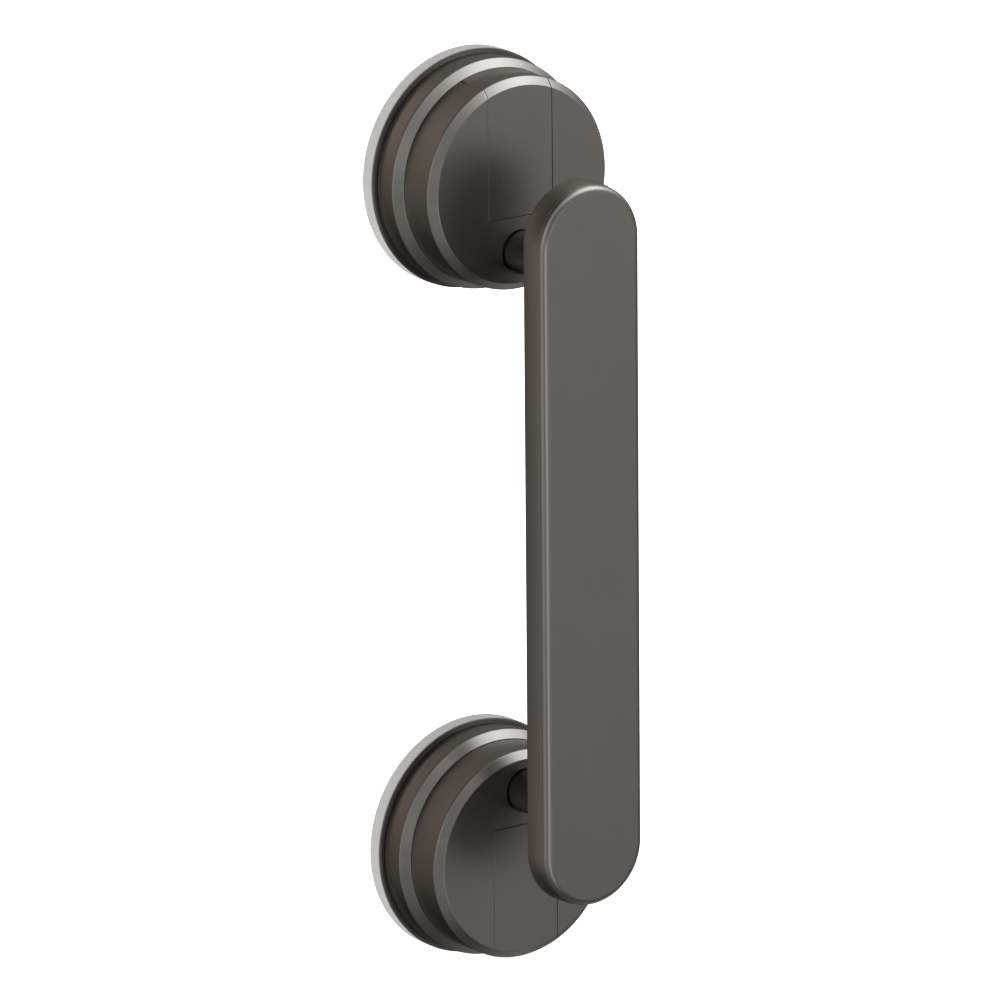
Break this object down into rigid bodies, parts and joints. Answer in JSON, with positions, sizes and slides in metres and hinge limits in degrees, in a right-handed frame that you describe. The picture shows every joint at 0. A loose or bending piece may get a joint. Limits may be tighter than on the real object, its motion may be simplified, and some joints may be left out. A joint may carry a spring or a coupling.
{
  "type": "suction grab bar",
  "caption": "Flat round-ended hand bar on short posts between stepped round suction heads, each with a flush flip lever that locks a soft cup to the wall.",
  "frame": {"origin": "centre of the bounding box, which is midway between the suction heads, halfway between the wall plane and the front of the bar", "axes": "+Z along the bar (vertical as hung), +Y into the wall, -Y out into the room, +X to the right seen from the room"},
  "size_m": [0.08, 0.0724, 0.308],
  "materials": {
    "shell": "graphite metallic paint, satin",
    "base": "moulded dark grey",
    "cup": "soft translucent light grey, satin",
    "steel": "turned",
    "nylon": "natural nylon",
    "brass": "knurled, bright",
    "zinc": "zinc plated"
  },
  "bodies": {
    "frame": {"top_base_plate": "base", "top_slide_washer": "nylon", "top_step_ring": "shell", "top_cap_housing": "shell", "top_threaded_insert": "brass", "top_post": "shell", "top_post_screw": "zinc", "top_base_screw_1": "zinc", "top_base_screw_2": "zinc", "top_base_screw_3": "zinc", "top_base_screw_4": "zinc", "bottom_base_plate": "base", "bottom_slide_washer": "nylon", "bottom_step_ring": "shell", "bottom_cap_housing": "shell", "bottom_threaded_insert": "brass", "bottom_post": "shell", "bottom_post_screw": "zinc", "bottom_base_screw_1": "zinc", "bottom_base_screw_2": "zinc", "bottom_base_screw_3": "zinc", "bottom_base_screw_4": "zinc", "bar_back_shell": "shell", "bar_front_plate": "shell"},
    "top_cup_carrier": {"top_suction_cup": "cup", "top_pull_stud": "steel", "top_pivot_pin": "steel"},
    "top_lever_arm": {"top_lever": "shell"},
    "bottom_cup_carrier": {"bottom_suction_cup": "cup", "bottom_pull_stud": "steel", "bottom_pivot_pin": "steel"},
    "bottom_lever_arm": {"bottom_lever": "shell"}
  },
  "joints": [
    {"name": "top_cup_slide", "type": "slide", "parent": "frame", "child": "top_cup_carrier", "axis": [0, 1, 0], "range_m": [0, 0.0024]},
    {"name": "top_lever_flip", "type": "hinge", "parent": "top_cup_carrier", "child": "top_lever_arm", "pos_m": [0, 0.01365, 0.114], "axis": [1, 0, 0], "range_deg": [0, 80]},
    {"name": "bottom_cup_slide", "type": "slide", "parent": "frame", "child": "bottom_cup_carrier", "axis": [0, 1, 0], "range_m": [0, 0.0024]},
    {"name": "bottom_lever_flip", "type": "hinge", "parent": "bottom_cup_carrier", "child": "bottom_lever_arm", "pos_m": [0, 0.01365, -0.114], "axis": [-1, 0, 0], "range_deg": [0, 80]}
  ],
  "couplings": [
    {"joint": "top_lever_flip", "follows": "top_cup_slide", "rad_per_m": 581.7},
    {"joint": "bottom_lever_flip", "follows": "bottom_cup_slide", "rad_per_m": 581.7}
  ]
}
